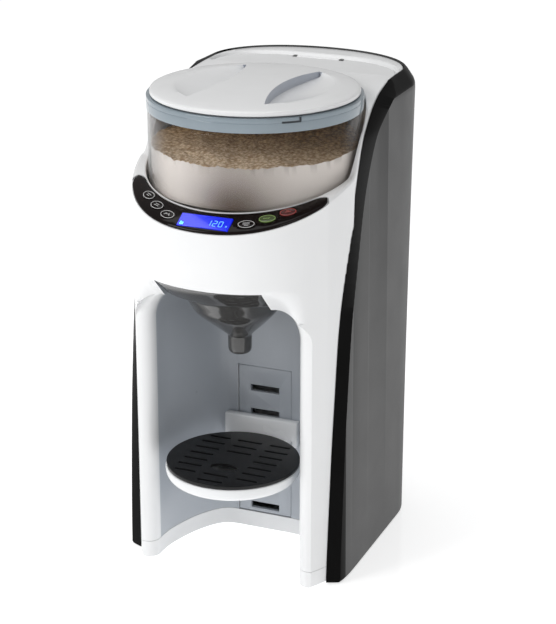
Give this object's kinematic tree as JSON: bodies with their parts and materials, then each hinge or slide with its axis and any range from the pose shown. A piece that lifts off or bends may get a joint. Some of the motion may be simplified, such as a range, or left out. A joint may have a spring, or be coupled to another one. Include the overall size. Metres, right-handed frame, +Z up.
{
  "type": "formula dispenser",
  "caption": "Counter-top baby formula dispenser: clear powder hopper and sloping control panel on a rounded white head over an open bottle bay with funnel and drip stand, water tank behind.",
  "frame": {"origin": "middle of the overall footprint, at the plane the feet stand on", "axes": "+Z up; -Y is the front, where the bottle goes in; +X is to the right of someone facing the front"},
  "size_m": [0.193, 0.2802, 0.3983],
  "materials": {
    "white_gloss": "glossy injection moulding",
    "charcoal": "satin, fine texture",
    "black_gloss": "high gloss",
    "display_blue": "backlit blue display",
    "button_green": "gloss",
    "button_red": "gloss",
    "clear_plastic": "clear polymer",
    "ring_blue_grey": "blue-grey translucent plastic",
    "smoke_plastic": "smoky translucent polymer",
    "silicone": "matte silicone",
    "grey_plastic": "matte",
    "nylon": "natural nylon",
    "brass": "machined",
    "steel": "plain",
    "black_satin": "satin",
    "rubber": "matte",
    "board_green": "solder mask"
  },
  "bodies": {
    "body": {"front_shell": "white_gloss", "base_frame": "white_gloss", "bay_back_panel": "white_gloss", "side_cover_right": "charcoal", "side_cover_left": "charcoal", "rear_cover": "charcoal", "control_panel": "black_gloss", "display_module": "display_blue", "chute_gasket": "silicone", "water_nozzle": "silicone", "cold_tube": "silicone", "pressure_tube": "silicone", "nozzle_tube": "silicone", "powder_chute": "grey_plastic", "bottom_plate": "grey_plastic", "tank_seat": "grey_plastic", "pump": "grey_plastic", "gear_motor": "steel", "heater": "steel", "bottom_screw_1": "steel", "bottom_screw_2": "steel", "bottom_screw_3": "steel", "bottom_screw_4": "steel", "appliance_inlet": "black_satin", "switch_housing": "black_satin", "foot_1": "rubber", "foot_2": "rubber", "foot_3": "rubber", "foot_4": "rubber", "ui_board": "board_green", "main_board": "board_green"},
    "hopper_unit": {"hopper": "clear_plastic", "hopper_ring": "ring_blue_grey", "hopper_floor": "grey_plastic"},
    "lid_lift": {"lid_seal": "silicone"},
    "lid": {"hopper_lid": "white_gloss"},
    "dosing": {"dosing_wheel": "nylon", "stirrer": "nylon"},
    "drive": {"drive_coupling": "grey_plastic", "drive_gear": "nylon"},
    "pinion": {"motor_pinion": "brass"},
    "funnel_unit": {"funnel": "smoke_plastic"},
    "stand": {"stand_tray": "white_gloss", "stand_bracket": "white_gloss"},
    "grille": {"stand_grille": "black_satin"},
    "tank": {"water_tank": "smoke_plastic", "valve_spring": "steel"},
    "tank_cap": {"tank_lid": "white_gloss", "tank_hinge_pin": "steel"},
    "tank_poppet": {"tank_valve": "grey_plastic", "valve_seal": "silicone"},
    "float_body": {"level_float": "nylon"},
    "switch_rocker": {"power_switch": "black_satin"},
    "button_left_outer_body": {"button_left_outer": "white_gloss"},
    "button_left_middle_body": {"button_left_middle": "white_gloss"},
    "button_left_inner_body": {"button_left_inner": "white_gloss"},
    "button_right_inner_body": {"button_right_inner": "white_gloss"},
    "button_right_middle_body": {"button_right_middle": "button_green"},
    "button_right_outer_body": {"button_right_outer": "button_red"}
  },
  "joints": [
    {"name": "button_left_outer_press", "type": "slide", "parent": "body", "child": "button_left_outer_body", "axis": [0.0975, 0.3613, -0.9274], "range_m": [0, 0.0008]},
    {"name": "button_left_middle_press", "type": "slide", "parent": "body", "child": "button_left_middle_body", "axis": [0.0919, 0.4074, -0.9086], "range_m": [0, 0.0008]},
    {"name": "button_left_inner_press", "type": "slide", "parent": "body", "child": "button_left_inner_body", "axis": [0.0711, 0.4514, -0.8895], "range_m": [0, 0.0008]},
    {"name": "button_right_inner_press", "type": "slide", "parent": "body", "child": "button_right_inner_body", "axis": [-0.0711, 0.4514, -0.8895], "range_m": [0, 0.0008]},
    {"name": "button_right_middle_press", "type": "slide", "parent": "body", "child": "button_right_middle_body", "axis": [-0.0919, 0.4074, -0.9086], "range_m": [0, 0.0008]},
    {"name": "button_right_outer_press", "type": "slide", "parent": "body", "child": "button_right_outer_body", "axis": [-0.0975, 0.3613, -0.9274], "range_m": [0, 0.0008]},
    {"name": "hopper_lift_out", "type": "slide", "parent": "body", "child": "hopper_unit", "axis": [0, 0, 1], "range_m": [0, 0.12]},
    {"name": "lid_lift_off", "type": "slide", "parent": "hopper_unit", "child": "lid_lift", "axis": [0, 0, 1], "range_m": [0, 0.08]},
    {"name": "lid_twist", "type": "hinge", "parent": "lid_lift", "child": "lid", "pos_m": [0, -0.0329, 0.39], "axis": [0, 0, 1], "range_deg": [0, 30]},
    {"name": "wheel_turn", "type": "hinge", "parent": "hopper_unit", "child": "dosing", "pos_m": [0, -0.0329, 0.305], "axis": [0, 0, 1], "continuous": true},
    {"name": "gear_turn", "type": "hinge", "parent": "body", "child": "drive", "pos_m": [0, -0.0329, 0.27], "axis": [0, 0, 1], "continuous": true},
    {"name": "pinion_turn", "type": "hinge", "parent": "body", "child": "pinion", "pos_m": [0, 0.0034, 0.27], "axis": [0, 0, 1], "continuous": true},
    {"name": "funnel_pull", "type": "slide", "parent": "body", "child": "funnel_unit", "axis": [0, -1, 0], "range_m": [0, 0.12]},
    {"name": "stand_unhook", "type": "slide", "parent": "body", "child": "stand", "axis": [0, -1, 0], "range_m": [0, 0.12]},
    {"name": "grille_lift", "type": "slide", "parent": "stand", "child": "grille", "axis": [0, 0, 1], "range_m": [0, 0.05]},
    {"name": "tank_lift_out", "type": "slide", "parent": "body", "child": "tank", "axis": [0, 0, 1], "range_m": [0, 0.33]},
    {"name": "tank_lid_hinge", "type": "hinge", "parent": "tank", "child": "tank_cap", "pos_m": [0, 0.1033, 0.3864], "axis": [-1, 0, 0], "range_deg": [0, 95]},
    {"name": "poppet_travel", "type": "slide", "parent": "tank", "child": "tank_poppet", "axis": [0, 0, 1], "range_m": [-0.0016, 0], "deforming": ["valve_spring"]},
    {"name": "float_travel", "type": "slide", "parent": "tank", "child": "float_body", "axis": [0, 0, 1], "range_m": [0, 0.22]},
    {"name": "switch_rock", "type": "hinge", "parent": "body", "child": "switch_rocker", "pos_m": [0.0145, 0.1216, 0.039], "axis": [1, 0, 0], "range_deg": [0, 12]}
  ],
  "couplings": [
    {"joint": "pinion_turn", "follows": "wheel_turn", "ratio": -3},
    {"joint": "gear_turn", "follows": "wheel_turn", "ratio": 1}
  ]
}
